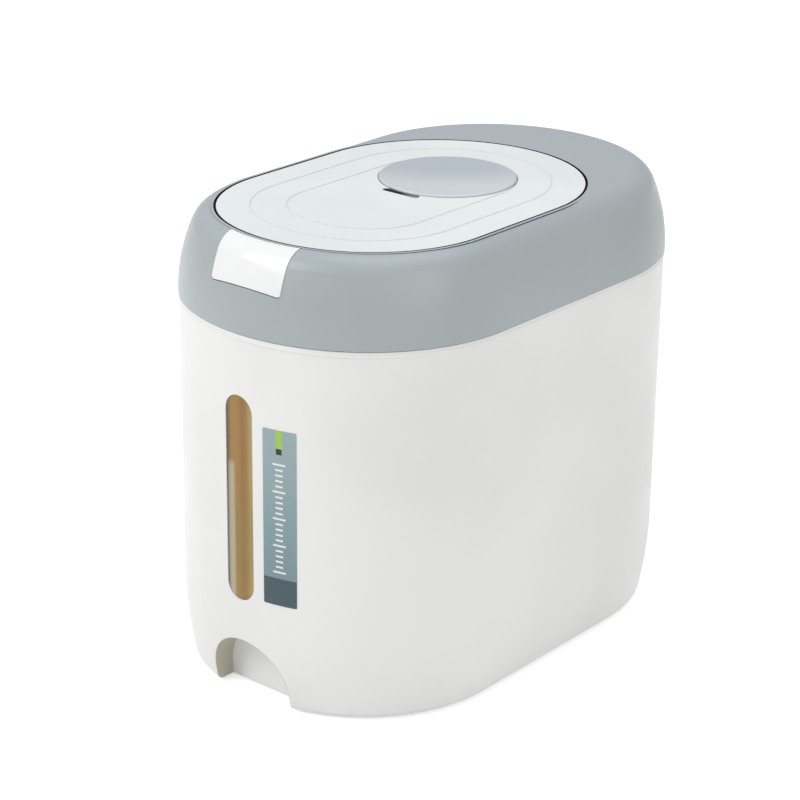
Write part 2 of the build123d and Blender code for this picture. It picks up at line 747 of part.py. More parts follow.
def scoop_form(wall):
    """The finger scoop in front of the disc and under its edge."""
    front = DISC_Y - DISC_RADIUS - SCOOP_REACH
    back = DISC_Y - WELL_RADIUS - SCOOP_WALL
    middle = (front + back) / 2
    depth = back - front + 2 * wall
    plan = Pos(0, middle) * RectangleRounded(SCOOP_WIDTH + 2 * wall, depth, SCOOP_CORNER + wall)
    return Pos(0, 0, SCOOP_Z - wall) * extrude(plan, amount=HEIGHT - SCOOP_Z + 2 * wall)


def lid_liner():
    plate = LID.inset(LID_SKIRT + LINER_CLEARANCE).solid(LINER_BOTTOM, LINER_TOP)
    lip = MOUTH.inset(-GASKET_OUTSIDE - LIP_GAP - LIP_WALL)
    body = plate + lip.ring(LIP_WALL, LINER_BOTTOM - LIP_HEIGHT, LINER_BOTTOM)
    plug = MOUTH.inset(RIM_WALL + PLUG_GAP)
    body = body + plug.ring(PLUG_WALL, LINER_BOTTOM - PLUG_DEPTH, LINER_BOTTOM)
    well = post(0, DISC_Y, WELL_RADIUS + WELL_WALL, WELL_BOTTOM - WELL_WALL, LINER_TOP)
    body = body + well
    body = body - post(0, DISC_Y, WELL_RADIUS, WELL_BOTTOM, LINER_TOP)
    for x, y in vents():
        body = body - post(x, y, VENT_RADIUS, WELL_BOTTOM - WELL_WALL, WELL_BOTTOM)
    for x, y in LINER_SCREWS:
        body = body - screw_hole(x, y, LINER_BOTTOM, LINER_TOP)
    for x, y in strike_screws() + arm_screws():
        body = body - screw_hole(x, y, LINER_BOTTOM, LINER_TOP)
        body = body - post(x, y, SCREW_BOSS, LINER_BOTTOM - LIP_HEIGHT, LINER_BOTTOM)
    return body


def vents():
    """Vent holes in rings under the repellent."""
    places = []
    for radius, count in VENT_RINGS:
        for index in range(count):
            angle = 2 * math.pi * index / count
            places.append((radius * math.cos(angle), DISC_Y + radius * math.sin(angle)))
    return places


def lid_gasket():
    depth = GASKET_OUTSIDE + RIM_WALL + GASKET_INSIDE
    return MOUTH.inset(-GASKET_OUTSIDE).ring(depth, RIM_TOP, LINER_BOTTOM)


def repellent_cover():
    """The dished disc, with a skirt that clips round the cup."""
    rim = Vector(DISC_RADIUS, DISC_TOP - DISC_THICKNESS / 2)
    under = DISC_TOP - DISC_THICKNESS
    skirt_outer = CUP_RADIUS + FIT_CLEARANCE + COVER_SKIRT_WALL
    skirt_low = under - COVER_SKIRT_DEPTH
    edge = DISC_RADIUS - DISC_THICKNESS / 2
    dish = DISC_TOP - DISC_DISH
    profile = make_face(
        [
            ThreePointArc(
                (0, dish), (edge / 2, dish + DISC_DISH * 0.22), (edge, DISC_TOP)
            ),
            ThreePointArc((edge, DISC_TOP), (rim.X, rim.Y), (edge, under)),
            Polyline(
                (edge, under),
                (skirt_outer, under),
                (skirt_outer, skirt_low),
                (skirt_outer - COVER_SKIRT_WALL, skirt_low),
                (skirt_outer - COVER_SKIRT_WALL, CUP_TOP + COVER_CUP_GAP),
                (0, CUP_TOP + COVER_CUP_GAP),
                (0, dish),
            ),
        ]
    )
    return Pos(0, DISC_Y, 0) * revolve(Plane.XZ * profile, axis=Axis.Z)


def repellent_cup():
    cup = post(0, DISC_Y, CUP_RADIUS, CUP_BOTTOM, CUP_TOP)
    cup = cup - post(0, DISC_Y, CUP_RADIUS - CUP_WALL, CUP_BOTTOM + CUP_WALL, CUP_TOP)
    for x, y in vents():
        cup = cup - post(x, y, VENT_RADIUS, CUP_BOTTOM, CUP_BOTTOM + CUP_WALL)
    return cup


def repellent_seal():
    inner = CUP_RADIUS + FIT_CLEARANCE + COVER_SKIRT_WALL
    top = DISC_TOP - DISC_THICKNESS - COVER_SKIRT_DEPTH / 3
    bottom = top - COVER_SKIRT_DEPTH / 3
    ring = post(0, DISC_Y, WELL_RADIUS - FIT_CLEARANCE, bottom, top)
    return ring - post(0, DISC_Y, inner, bottom, top)


def hinge_arm(side):
    ring = Circle(ARM_OUTER) - Circle(ARM_INNER)
    end = math.radians(ARM_END_ANGLE)
    far = 2 * ARM_OUTER
    toward_end = Vector(math.cos(end), math.sin(end))
    corner = toward_end * far + Vector(-far, 0)
    sector = polygon([(0, 0), (-far, 0), (corner.X, corner.Y), (far * toward_end.X, far * toward_end.Y)])
    stem = Rot(0, 0, ARM_END_ANGLE) * Pos(ARM_OUTER / 2 - 0.3, 0) * Rectangle(ARM_OUTER - 1, ARM_STEM)
    profile = (ring & sector) + stem + Circle(BOSS_RADIUS)
    foot_height = LINER_BOTTOM - HINGE_Z
    foot = polygon(
        [
            (-ARM_OUTER, foot_height),
            (-ARM_INNER, foot_height),
            (-ARM_INNER, -ARM_FOOT),
            (-ARM_OUTER - ARM_FOOT_REACH, -ARM_FOOT + foot_height),
            (-ARM_OUTER - ARM_FOOT_REACH, foot_height),
        ]
    )
    profile = profile + foot - Circle(PIN_RADIUS + PIN_CLEARANCE)
    arm = across(Pos(HINGE_Y, HINGE_Z) * profile, ARM_WIDTH / 2, side * ARM_X)
    for x, y in arm_screws():
        arm = arm - screw_hole(x, y, LINER_BOTTOM - ARM_FOOT - 1, LINER_BOTTOM)
    return arm


def arm_screws():
    y = HINGE_Y - ARM_OUTER - ARM_FOOT_REACH / 2
    return [(-ARM_X, y), (ARM_X, y)]


def hinge_bracket():
    plate = block(
        -BRACKET_HALF_WIDTH,
        BRACKET_HALF_WIDTH,
        BRACKET_FRONT_Y,
        BRACKET_REAR_Y,
        BRACKET_BOTTOM,
        BRACKET_TOP,
    )
    lug_side = polygon(
        [
            (HINGE_Y - BOSS_RADIUS, HINGE_Z),
            (HINGE_Y - BOSS_RADIUS, HINGE_Z + BOSS_RADIUS / 2),
            (HINGE_Y, HINGE_Z + BOSS_RADIUS),
            (BRACKET_FRONT_Y + BRACKET_PLATE, HINGE_Z + BOSS_RADIUS),
            (BRACKET_FRONT_Y + BRACKET_PLATE, BRACKET_BOTTOM),
            (HINGE_Y, BRACKET_BOTTOM),
        ]
    )
    bracket = plate
    for x in LUG_POSITIONS:
        bracket = bracket + across(lug_side, LUG_WIDTH / 2, x)
    bracket = bracket - rod(-PIN_HALF_LENGTH, PIN_HALF_LENGTH, HINGE_Y, HINGE_Z, PIN_RADIUS)
    for x, y in bracket_screws():
        bracket = bracket - screw_hole(x, y, BRACKET_BOTTOM, BRACKET_TOP)
    return bracket


def bracket_screws():
    y = (BRACKET_FRONT_Y + BRACKET_REAR_Y) / 2
    return [(-BRACKET_SCREW_X, y), (-BRACKET_SCREW_X / 3, y), (BRACKET_SCREW_X / 3, y), (BRACKET_SCREW_X, y)]


def hinge_pin():
    pin = rod(-PIN_HALF_LENGTH, PIN_HALF_LENGTH, HINGE_Y, HINGE_Z, PIN_RADIUS)
    head_end = -PIN_HALF_LENGTH + PIN_HEAD
    return pin + rod(-PIN_HALF_LENGTH, head_end, HINGE_Y, HINGE_Z, PIN_HEAD_RADIUS)


def pin_clip():
    outer_lug = LUG_POSITIONS[-1] + LUG_WIDTH / 2
    ring = rod(outer_lug, outer_lug + CLIP_THICKNESS, HINGE_Y, HINGE_Z, CLIP_RADIUS)
    ring = ring - rod(outer_lug, outer_lug + CLIP_THICKNESS, HINGE_Y, HINGE_Z, PIN_RADIUS)
    mouth = block(
        outer_lug,
        outer_lug + CLIP_THICKNESS,
        HINGE_Y - CLIP_MOUTH / 2,
        HINGE_Y + CLIP_MOUTH / 2,
        HINGE_Z - CLIP_RADIUS,
        HINGE_Z,
    )
    return ring - mouth


def lid_spring(side):
    """A torsion spring round the pin, between the middle lug and one arm."""
    axis = Vector(side, 0, 0)
    start = Vector(side * SPRING_START_X, HINGE_Y, HINGE_Z - SPRING_RADIUS)
    radial = Vector(0, 0, -SPRING_RADIUS)
    coil = helix_path(start, axis, radial, SPRING_PITCH, SPRING_TURNS)
    first = coil[0] % 0
    last = coil[-2] % 0
    end = start + axis * (SPRING_PITCH * SPRING_TURNS)
    away = Line(end, end + first * SPRING_LEG)
    into = Line(start - first * SPRING_LEG, start)
    return wire_form([into, *coil, away], SPRING_WIRE / 2)


def hinge_cover():
    inner = block(
        -COVER_HALF_WIDTH + COVER_WALL,
        COVER_HALF_WIDTH - COVER_WALL,
        COVER_FRONT_Y + COVER_WALL,
        COVER_REAR_Y - COVER_WALL,
        COVER_INSIDE_FLOOR,
        HEIGHT,
    )
    outer = block(
        -COVER_HALF_WIDTH,
        COVER_HALF_WIDTH,
        COVER_FRONT_Y,
        COVER_REAR_Y,
        COVER_FLOOR,
        PLATEAU_UNDERSIDE - COVER_TOP_GAP,
    )
    rounded = BODY.inset(COVER_INSET)
    outer = outer & rounded.solid(COVER_FLOOR, HEIGHT)
    inner = inner & rounded.inset(COVER_WALL).solid(COVER_FLOOR, HEIGHT)
    around_pocket = POCKET.inset(-POCKET_WALL - COVER_TOP_GAP)
    cover = outer - inner - around_pocket.solid(LEDGE_BOTTOM, HEIGHT)
    for x, y in cover_screws():
        cover = cover - screw_hole(x, y, COVER_FLOOR, COVER_INSIDE_FLOOR)
    return cover


def cover_screws():
    return [(-POST_X, POST_Y), (POST_X, POST_Y)]


def release_button():
    """A rocking button: its lower part goes in and takes the latch plate with it."""
    inside = button_space(-BUTTON_SKIRT)
    shape = front_band(-BUTTON_PROUD, BUTTON_SKIN - BUTTON_PROUD) & button_space(0)
    shape = shape + (front_band(BUTTON_SKIN / 2, BUTTON_SKIRT_DEPTH) & (button_space(0) - inside))
    inner_x = BUTTON_HALF_WIDTH - BUTTON_SKIRT
    pin_x = BUTTON_HALF_WIDTH + BUTTON_GAP + TRUNNION_LENGTH - BUTTON_GAP / 2
    within = outside_skin(BUTTON_SKIN / 2)
    for side in (-1, 1):
        x0, x1 = sorted((side * inner_x, side * BUTTON_HALF_WIDTH))
        shape = shape + (pivot_boss(x0, x1, TRUNNION_BOSS - BUTTON_GAP) - within)
        x0, x1 = sorted((side * inner_x, side * pin_x))
        shape = shape + rod(x0, x1, PIVOT_Y, PIVOT_Z, TRUNNION_RADIUS)
    lug = block(
        -LUG_HALF_WIDTH, LUG_HALF_WIDTH, FRONT_Y, LATCH_FRONT_Y, LUG_BOTTOM, LATCH_BAR_TOP
    )
    shape = shape + (lug - within)
    stake_end = LATCH_FRONT_Y + LATCH_BAR + STAKE_HEAD
    for x in (-STAKE_X, STAKE_X):
        shape = shape + stake(x, LATCH_FRONT_Y - LATCH_BAR / 5, stake_end)
    return shape


def stake(x, y0, y1):
    """A heat stake that holds the latch plate to the button's lug."""
    return Pos(x, (y0 + y1) / 2, STAKE_Z) * Rot(90, 0, 0) * Cylinder(STAKE_RADIUS, y1 - y0)


def outside_skin(depth):
    """Everything round the nose in front of a depth under the shoulder's surface."""
    centre = Vector(0, NOSE_CENTRE_Y)
    edges = shoulder_edges(depth)
    low = edges[0] @ 0
    high = edges[1] @ 1
    far = -BODY_WALL * 5
    top = HEIGHT + BUTTON_SKIN
    close = Polyline(high, (high.X, top), (far, top), (far, low.Y), low)
    return turned(make_face([*edges, close]), centre, NOSE_RADIUS, Vector(-1, 0), 180)


def latch_plate():
    bar = block(
        -LATCH_BAR_HALF_WIDTH,
        LATCH_BAR_HALF_WIDTH,
        LATCH_FRONT_Y,
        LATCH_FRONT_Y + LATCH_BAR,
        LATCH_BAR_BOTTOM,
        LATCH_BAR_TOP,
    )
    tongue = block(
        -TONGUE_HALF_WIDTH,
        TONGUE_HALF_WIDTH,
        LATCH_FRONT_Y,
        TONGUE_END_Y,
        LATCH_PLATE_BOTTOM,
        LATCH_PLATE_BOTTOM + LATCH_PLATE,
    )
    window = block(
        -STRIKE_HALF_WIDTH - WINDOW_SIDE_GAP,
        STRIKE_HALF_WIDTH + WINDOW_SIDE_GAP,
        STRIKE_FRONT_Y - WINDOW_FRONT_GAP,
        CATCH_Y,
        LATCH_PLATE_BOTTOM,
        LATCH_PLATE_BOTTOM + LATCH_PLATE,
    )
    plate = bar + tongue - window
    for x in (-STAKE_X, STAKE_X):
        plate = plate - stake(x, LATCH_FRONT_Y, LATCH_FRONT_Y + LATCH_BAR)
    return plate


def spring_seat_z():
    return (LATCH_BAR_BOTTOM + LATCH_BAR_TOP) / 2


def latch_housing():
    floor_top = HOUSING_FLOOR + HOUSING_WALL
    tray = block(
        -HOUSING_HALF_WIDTH,
        HOUSING_HALF_WIDTH,
        HOUSING_FRONT_Y,
        HOUSING_REAR_Y,
        HOUSING_FLOOR,
        HOUSING_TOP,
    )
    tray = tray - block(
        -HOUSING_HALF_WIDTH + HOUSING_WALL,
        HOUSING_HALF_WIDTH - HOUSING_WALL,
        HOUSING_FRONT_Y - 1,
        HOUSING_REAR_Y - HOUSING_WALL,
        floor_top,
        HOUSING_TOP,
    )
    rib_front = LATCH_FRONT_Y + LATCH_BAR + LATCH_SPRING_LENGTH
    rail_front = LATCH_FRONT_Y + LATCH_BAR + LATCH_STROKE + 1
    rail_inner = STRIKE_HALF_WIDTH + WINDOW_SIDE_GAP + RAIL_GAP
    for side in (-1, 1):
        x0, x1 = sorted((side * rail_inner, side * (TONGUE_HALF_WIDTH + HOUSING_WALL)))
        tray = tray + block(
            x0, x1, rail_front, HOUSING_REAR_Y - 1, HOUSING_FLOOR, LATCH_PLATE_BOTTOM - RAIL_GAP
        )
        guide = TONGUE_HALF_WIDTH + 2 * RAIL_GAP
        x0, x1 = sorted((side * guide, side * (TONGUE_HALF_WIDTH + HOUSING_WALL)))
        guide_top = LATCH_PLATE_BOTTOM + LATCH_PLATE
        tray = tray + block(x0, x1, rail_front, HOUSING_REAR_Y - 1, HOUSING_FLOOR, guide_top)
        x0, x1 = sorted((side * guide, side * (LATCH_BAR_HALF_WIDTH - 1)))
        tray = tray + block(
            x0, x1, rib_front, rib_front + SPRING_RIB, HOUSING_FLOOR, LATCH_BAR_TOP
        )
    for x, y in housing_screws():
        tray = tray + post(x, y, SCREW_BOSS, HOUSING_FLOOR, HOUSING_TOP)
    shell = block(
        -HOUSING_HALF_WIDTH,
        HOUSING_HALF_WIDTH,
        HOUSING_FRONT_Y,
        HOUSING_REAR_Y,
        HOUSING_FLOOR,
        HOUSING_TOP,
    )
    tray = tray & shell
    for x, y in housing_screws():
        tray = tray - screw_hole(x, y, HOUSING_FLOOR, HOUSING_TOP)
        tray = tray - post(x, y, SCREW_HEAD_RADIUS, HOUSING_FLOOR, HOUSING_FLOOR + SCREW_HEAD)
    return tray


def housing_screws():
    return [(-HOUSING_SCREW_X, HOUSING_SCREW_Y), (HOUSING_SCREW_X, HOUSING_SCREW_Y)]


def latch_spring(side):
    """A compression spring behind the latch's bar."""
    wire = LATCH_SPRING_WIRE / 2
    start_y = LATCH_FRONT_Y + LATCH_BAR + wire + FIT_CLEARANCE
    free = LATCH_SPRING_LENGTH - 2 * (wire + FIT_CLEARANCE)
    pitch = free / LATCH_SPRING_TURNS
    centre = Vector(side * LATCH_SPRING_X, start_y, spring_seat_z())
    radial = Vector(0, 0, LATCH_SPRING_RADIUS)
    return wire_form(
        helix_path(centre + radial, Vector(0, 1, 0), radial, pitch, LATCH_SPRING_TURNS), wire
    )


def lid_strike():
    base_bottom = LINER_BOTTOM - STRIKE_BASE
    base_front = LID.front + LID_SKIRT + LINER_CLEARANCE
    base_rear = MOUTH.front - GASKET_OUTSIDE - LIP_GAP - LIP_WALL - LINER_CLEARANCE
    base = block(
        -STRIKE_BASE_HALF_WIDTH,
        STRIKE_BASE_HALF_WIDTH,
        base_front,
        base_rear,
        base_bottom,
        LINER_BOTTOM,
    )
    base = base & LID.inset(LID_SKIRT + LINER_CLEARANCE).solid(base_bottom, LINER_BOTTOM)
    rear = STRIKE_FRONT_Y + STRIKE_THICKNESS
    tooth_low = TOOTH_TOP - TOOTH_HEIGHT
    side_view = polygon(
        [
            (STRIKE_FRONT_Y, base_bottom + STRIKE_BASE / 2),
            (STRIKE_FRONT_Y, tooth_low),
            (rear, tooth_low),
            (TOOTH_TIP_Y, TOOTH_TOP - TOOTH_CLEARANCE),
            (TOOTH_TIP_Y, TOOTH_TOP),
            (rear, TOOTH_TOP),
            (rear, base_bottom + STRIKE_BASE / 2),
        ]
    )
    strike = base + across(side_view, STRIKE_HALF_WIDTH)
    for x, y in strike_screws():
        strike = strike - screw_hole(x, y, base_bottom, LINER_BOTTOM)
    return strike


def strike_screws():
    base_front = LID.front + LID_SKIRT + LINER_CLEARANCE
    base_rear = MOUTH.front - GASKET_OUTSIDE - LIP_GAP - LIP_WALL - LINER_CLEARANCE
    x = (STRIKE_HALF_WIDTH + STRIKE_BASE_HALF_WIDTH) / 2
    y = (base_front + base_rear) / 2
    return [(-x, y), (x, y)]


def window_lens():
    pane = nose_slab(
        BODY_GAP + LENS_RECESS, BODY_INNER + WINDOW_GASKET, slot_outline(-LENS_CLEARANCE)
    )
    flange_near = BODY_INNER + WINDOW_GASKET
    flange = nose_slab(
        flange_near, flange_near + LENS_FLANGE_THICKNESS, slot_outline(LENS_FLANGE)
    )
    return pane + flange


def window_gasket():
    outline = slot_outline(WINDOW_GASKET_WIDTH) - slot_outline(0)
    return nose_slab(BODY_INNER, BODY_INNER + WINDOW_GASKET, outline)


def window_retainer():
    near = BODY_INNER + WINDOW_GASKET + LENS_FLANGE_THICKNESS
    outline = slot_outline(LENS_FLANGE + RETAINER_WIDTH) - slot_outline(0)
    frame = nose_slab(near, near + RETAINER_THICKNESS, outline)
    for x, z in stud_positions():
        hole = Pos(x, z) * Circle(STUD_RADIUS)
        frame = frame - nose_slab(near - 1, near + RETAINER_THICKNESS + 1, hole)
    return frame


def level_label():
    middle = (LABEL_TOP + LABEL_BOTTOM) / 2
    outline = RectangleRounded(LABEL_WIDTH, LABEL_TOP - LABEL_BOTTOM, LABEL_CORNER)
    return nose_slab(BODY_GAP - LABEL_THICKNESS, BODY_GAP, Pos(LABEL_X, middle) * outline)


def screws(places, seat, bite_top):
    return Compound([screw(x, y, seat - SCREW_HEAD, bite_top) for x, y in places])


LID_BITE = HEIGHT - SCREW_HEAD - 0.2

NODES = {
    "bin_body": bin_body,
    "rubber_feet": feet,
    "window_lens": window_lens,
    "window_gasket": window_gasket,
    "window_retainer": window_retainer,
    "level_label": level_label,
    "collar": collar,
    "collar_seal": collar_seal,
    "hinge_bracket": hinge_bracket,
    "hinge_pin": hinge_pin,
    "hinge_pin_clip": pin_clip,
    "lid_spring_left": lambda: lid_spring(-1),
    "lid_spring_right": lambda: lid_spring(1),
    "hinge_cover": hinge_cover,
    "latch_housing": latch_housing,
    "latch_plate": latch_plate,
    "latch_spring_left": lambda: latch_spring(-1),
    "latch_spring_right": lambda: latch_spring(1),
    "release_button": release_button,
    "lid_panel": lid_panel,
    "lid_liner": lid_liner,
    "lid_gasket": lid_gasket,
    "lid_strike": lid_strike,
    "hinge_arm_left": lambda: hinge_arm(-1),
    "hinge_arm_right": lambda: hinge_arm(1),
    "repellent_cover": repellent_cover,
    "repellent_cup": repellent_cup,
    "repellent_seal": repellent_seal,
    "liner_screws": lambda: screws(LINER_SCREWS, LINER_BOTTOM, LID_BITE),
    "strike_screws": lambda: screws(strike_screws(), LINER_BOTTOM - STRIKE_BASE, LINER_TOP),
    "arm_screws": lambda: screws(arm_screws(), LINER_BOTTOM - ARM_FOOT, LINER_TOP),
    "bracket_screws": lambda: screws(bracket_screws(), BRACKET_BOTTOM, LID_BITE),
    "cover_screws": lambda: screws(cover_screws(), COVER_FLOOR, COVER_INSIDE_FLOOR + SCREW_BITE * 2),
    "housing_screws": lambda: screws(housing_screws(), HOUSING_FLOOR + SCREW_HEAD, LEDGE_BOTTOM),
}

for name, make in NODES.items():
    export_step(make(), f"parts/{name}.step")
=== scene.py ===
import math

import bpy
from mathutils import Matrix, Vector


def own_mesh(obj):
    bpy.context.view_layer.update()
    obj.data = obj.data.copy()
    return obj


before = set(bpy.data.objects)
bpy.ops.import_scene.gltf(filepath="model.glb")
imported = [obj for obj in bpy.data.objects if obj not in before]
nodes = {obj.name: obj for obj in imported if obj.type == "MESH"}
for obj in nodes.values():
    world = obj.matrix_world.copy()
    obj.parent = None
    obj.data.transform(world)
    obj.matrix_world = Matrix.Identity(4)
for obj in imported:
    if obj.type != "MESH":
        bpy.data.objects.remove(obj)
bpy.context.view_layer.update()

MM = 0.001

# Places in the part, in its own millimetres.
LID_TOP = 280.0
LID_REAR_CENTRE = 10.6    # centres of the lid's rear and front arcs
LID_FRONT_CENTRE = -46.9
LID_BAND = 80.0           # only the lid's edge lies farther out than this
LID_SIDE = 5.0            # height of the lid's side below its top
GAP_WALL = 2.5            # height of the painted shade band on the collar's wall beside the lid
PLATEAU_LOW = 272.0       # the flat rear part's painted bluer top light comes in between these heights
PLATEAU_HIGH = 279.0
SCOOP_BACK = -24.0        # the finger scoop's painted shadow runs forward from here
SCOOP_REACH = 8.0         # and this far
SCOOP_HALF_WIDTH = 13.4
SCOOP_DEEP = 279.3        # the scoop is painted dark, as shade, below these heights
SCOOP_SHALLOW = 279.7
RECESS_RADIUS = 29.2
RECESS_TOP = 40.3
RECESS_BACK = -144.5
WINDOW_LEFT = -12.0       # the window's bands run across between these
WINDOW_RIGHT = 8.7


def span(name, axis):
    """The least and greatest coordinate of a piece along one axis, in metres."""
    values = [corner[axis] for corner in nodes[name].bound_box]
    return min(values), max(values)


# ---- camera: same place, angle and lens as the photograph ----
def make_camera():
    data = bpy.data.cameras.new("camera")
    data.sensor_width = 36.0
    data.lens = 111.67
    data.shift_x = -0.03654
    data.shift_y = 0.00199
    data.clip_start = 0.05
    data.clip_end = 20.0
    camera = bpy.data.objects.new("camera", data)
    back = Vector((0.58513, -0.72108, 0.37099)).normalized()
    up = back.cross(Vector((0.77236, 0.63497, 0.01592))).normalized()
    turn = Matrix((up.cross(back), up, back)).transposed()
    place = Vector((0.89212, -1.09814, 0.70542))
    camera.matrix_world = Matrix.Translation(place) @ turn.to_4x4()
    bpy.context.scene.collection.objects.link(camera)
    bpy.context.scene.camera = camera


# ---- material building blocks ----
class Shader:
    """A material under construction, with short calls for the nodes used here."""

    def __init__(self, name):
        self.material = bpy.data.materials.new(name)
        self.material.use_nodes = True
        self.tree = self.material.node_tree
        self.tree.nodes.clear()
        self.output = self.add("ShaderNodeOutputMaterial")
        self.surface = self.add("ShaderNodeBsdfPrincipled")
        self.link(self.surface.outputs[0], self.output.inputs["Surface"])
        self.place = self.add("ShaderNodeTexCoord").outputs["Object"]

    def add(self, kind, **settings):
        node = self.tree.nodes.new(kind)
        for key, value in settings.items():
            setattr(node, key, value)
        return node

    def link(self, source, target):
        self.tree.links.new(source, target)

    def put(self, socket, value):
        if isinstance(value, bpy.types.NodeSocket):
            self.link(value, socket)
        else:
            socket.default_value = value

    def set(self, **values):
        for key, value in values.items():
            self.put(self.surface.inputs[key.replace("_", " ")], value)

    def math(self, operation, a, b=0.0):
        node = self.add("ShaderNodeMath", operation=operation)
        self.put(node.inputs[0], a)
        self.put(node.inputs[1], b)
        return node.outputs[0]

    def past(self, a, b):
        """How far a is beyond b, and 0 before it."""
        return self.math("MAXIMUM", self.math("SUBTRACT", a, b), 0.0)

    def distance(self, a, b):
        squares = self.math("ADD", self.math("MULTIPLY", a, a), self.math("MULTIPLY", b, b))
        return self.math("SQRT", squares)

    def between(self, value, low, high, soft):
        """1 where value is from low to high, with edges softened over soft."""
        rise = self.spread(value, low - soft, low + soft)
        fall = self.spread(value, high - soft, high + soft, 1.0, 0.0)
        return self.math("MULTIPLY", rise, fall)

    def spread(self, value, from_low, from_high, to_low=0.0, to_high=1.0):
        """Moves smoothly from to_low to to_high while value goes from from_low to from_high."""
        node = self.add("ShaderNodeMapRange", interpolation_type="SMOOTHSTEP")
        self.put(node.inputs["Value"], value)
        node.inputs["From Min"].default_value = from_low
        node.inputs["From Max"].default_value = from_high
        node.inputs["To Min"].default_value = to_low
        node.inputs["To Max"].default_value = to_high
        return node.outputs[0]

    def axes(self):
        """The three coordinates of the place on the piece."""
        node = self.add("ShaderNodeSeparateXYZ")
        self.link(self.place, node.inputs[0])
        return node.outputs[0], node.outputs[1], node.outputs[2]

    def noise(self, scale, detail=3.0, rough=0.5):
        node = self.add("ShaderNodeTexNoise")
        self.link(self.place, node.inputs["Vector"])
        node.inputs["Scale"].default_value = scale
        node.inputs["Detail"].default_value = detail
        node.inputs["Roughness"].default_value = rough
        return node.outputs["Fac"]

    def mix(self, factor, a, b):
        """Colour a where factor is 0 and colour b where it is 1."""
        node = self.add("ShaderNodeMix", data_type="RGBA", blend_type="MIX")
        self.put(node.inputs["Factor"], factor)
        self.put(node.inputs["A"], self.colour(a))
        self.put(node.inputs["B"], self.colour(b))
        return node.outputs["Result"]

    @staticmethod
    def colour(value):
        if isinstance(value, bpy.types.NodeSocket):
            return value
        return (*value, 1.0)

    def ramp(self, value, stops):
        node = self.add("ShaderNodeValToRGB")
        self.link(value, node.inputs[0])
        points = node.color_ramp.elements
        while len(points) < len(stops):
            points.new(0.5)
        for point, (place, colour) in zip(points, stops):
            point.position = place
            point.color = (*colour, 1.0)
        return node.outputs[0]

    def bump(self, height, strength, distance, under=None):
        node = self.add("ShaderNodeBump")
        node.inputs["Strength"].default_value = strength
        node.inputs["Distance"].default_value = distance
        self.link(height, node.inputs["Height"])
        if under is not None:
            self.link(under, node.inputs["Normal"])
        return node.outputs[0]

    def soft_edges(self, radius):
        node = self.add("ShaderNodeBevel", samples=6)
        node.inputs["Radius"].default_value = radius
        return node.outputs[0]


def srgb(r, g, b):
    """The linear colour of an 8-bit screen colour."""
    def one(c):
        c = c / 255
        return c / 12.92 if c <= 0.04045 else ((c + 0.055) / 1.055) ** 2.4
    return (one(r), one(g), one(b))


PLASTIC_IOR = 1.49


def plastic(name, colour, rough, grain=1400.0, edge=0.25, coat=0.0, uneven=0.05, shade=None):
    """Moulded plastic: fine mould grain, faint flow marks, uneven polish and soft edges.

    Edge is the radius of the soft edges in millimetres, and 0 leaves out them and the grain.
    Shade is a function that paints light and shade into the colour by place.
    """
    s = Shader(name)
    flow = s.noise(9.0, 2.0)
    cloud = s.noise(45.0, 4.0, 0.6)
    darker = tuple(c * 0.965 for c in colour)
    lighter = tuple(min(1.0, c * 1.015) for c in colour)
    tint = s.mix(s.spread(flow, 0.35, 0.65), darker, lighter)
    if shade:
        tint = shade(s, tint)
    s.set(Base_Color=tint)
    s.set(Roughness=s.spread(cloud, 0.3, 0.7, rough - uneven, rough + uneven))
    if edge:
        fine = s.noise(grain, 2.0, 0.6)
        waves = s.noise(22.0, 1.0)
        normal = s.bump(fine, 0.35, 0.01 * MM, s.soft_edges(edge * MM))
        s.set(Normal=s.bump(waves, 0.15, 0.12 * MM, normal))
    s.surface.inputs["IOR"].default_value = PLASTIC_IOR
    s.surface.inputs["Specular IOR Level"].default_value = 0.5
    if coat:
        s.surface.inputs["Coat Weight"].default_value = coat
        s.surface.inputs["Coat Roughness"].default_value = 0.08
    return s


def metal(name, colour, rough):
    """Drawn or turned metal with fine lines and small stains."""
    s = Shader(name)
    stains = s.noise(160.0, 4.0, 0.6)
    lines = s.noise(2600.0, 2.0)
    dark = tuple(c * 0.8 for c in colour)
    s.set(Base_Color=s.mix(s.spread(stains, 0.4, 0.7, 0.0, 0.5), colour, dark))
    s.set(Roughness=s.spread(stains, 0.3, 0.7, rough - 0.06, rough + 0.08))
    s.set(Normal=s.bump(lines, 0.2, 0.01 * MM, s.soft_edges(0.1 * MM)))
    s.surface.inputs["Metallic"].default_value = 1.0
    return s


def rubber(name, colour, rough, clear=0.0):
    """Soft rubber or silicone: matte, slightly dusty, with a rubbed bloom."""
    s = Shader(name)
    bloom = s.noise(240.0, 5.0, 0.65)
    pale = tuple(c + (1 - c) * 0.08 for c in colour)
    s.set(Base_Color=s.mix(s.spread(bloom, 0.45, 0.75), colour, pale))
    s.set(Roughness=s.spread(bloom, 0.3, 0.7, rough - 0.07, rough + 0.07))
    s.set(Normal=s.bump(bloom, 0.3, 0.03 * MM, s.soft_edges(0.2 * MM)))
    if clear:
        s.surface.inputs["Transmission Weight"].default_value = clear
    return s


def paint(material, *names):
    for name in names:
        slots = nodes[name].data.materials
        slots.clear()
        slots.append(material.material)


# ---- materials ----
WHITE_BODY = srgb(238, 239, 237)
WHITE_LID = srgb(232, 237, 238)
WHITE_BUTTON = srgb(244, 246, 246)
WHITE_INNER = srgb(222, 224, 224)
GREY_COLLAR = srgb(170, 178, 180)
# painted light: the bluer tone of the flat rear part, where light from above falls on it
PLATEAU_PAINTED_TOP_LIGHT = srgb(167, 176, 182)
# the disc's grey, also the darker far end of its painted light gradient
DISC_FAR = srgb(180, 189, 197)
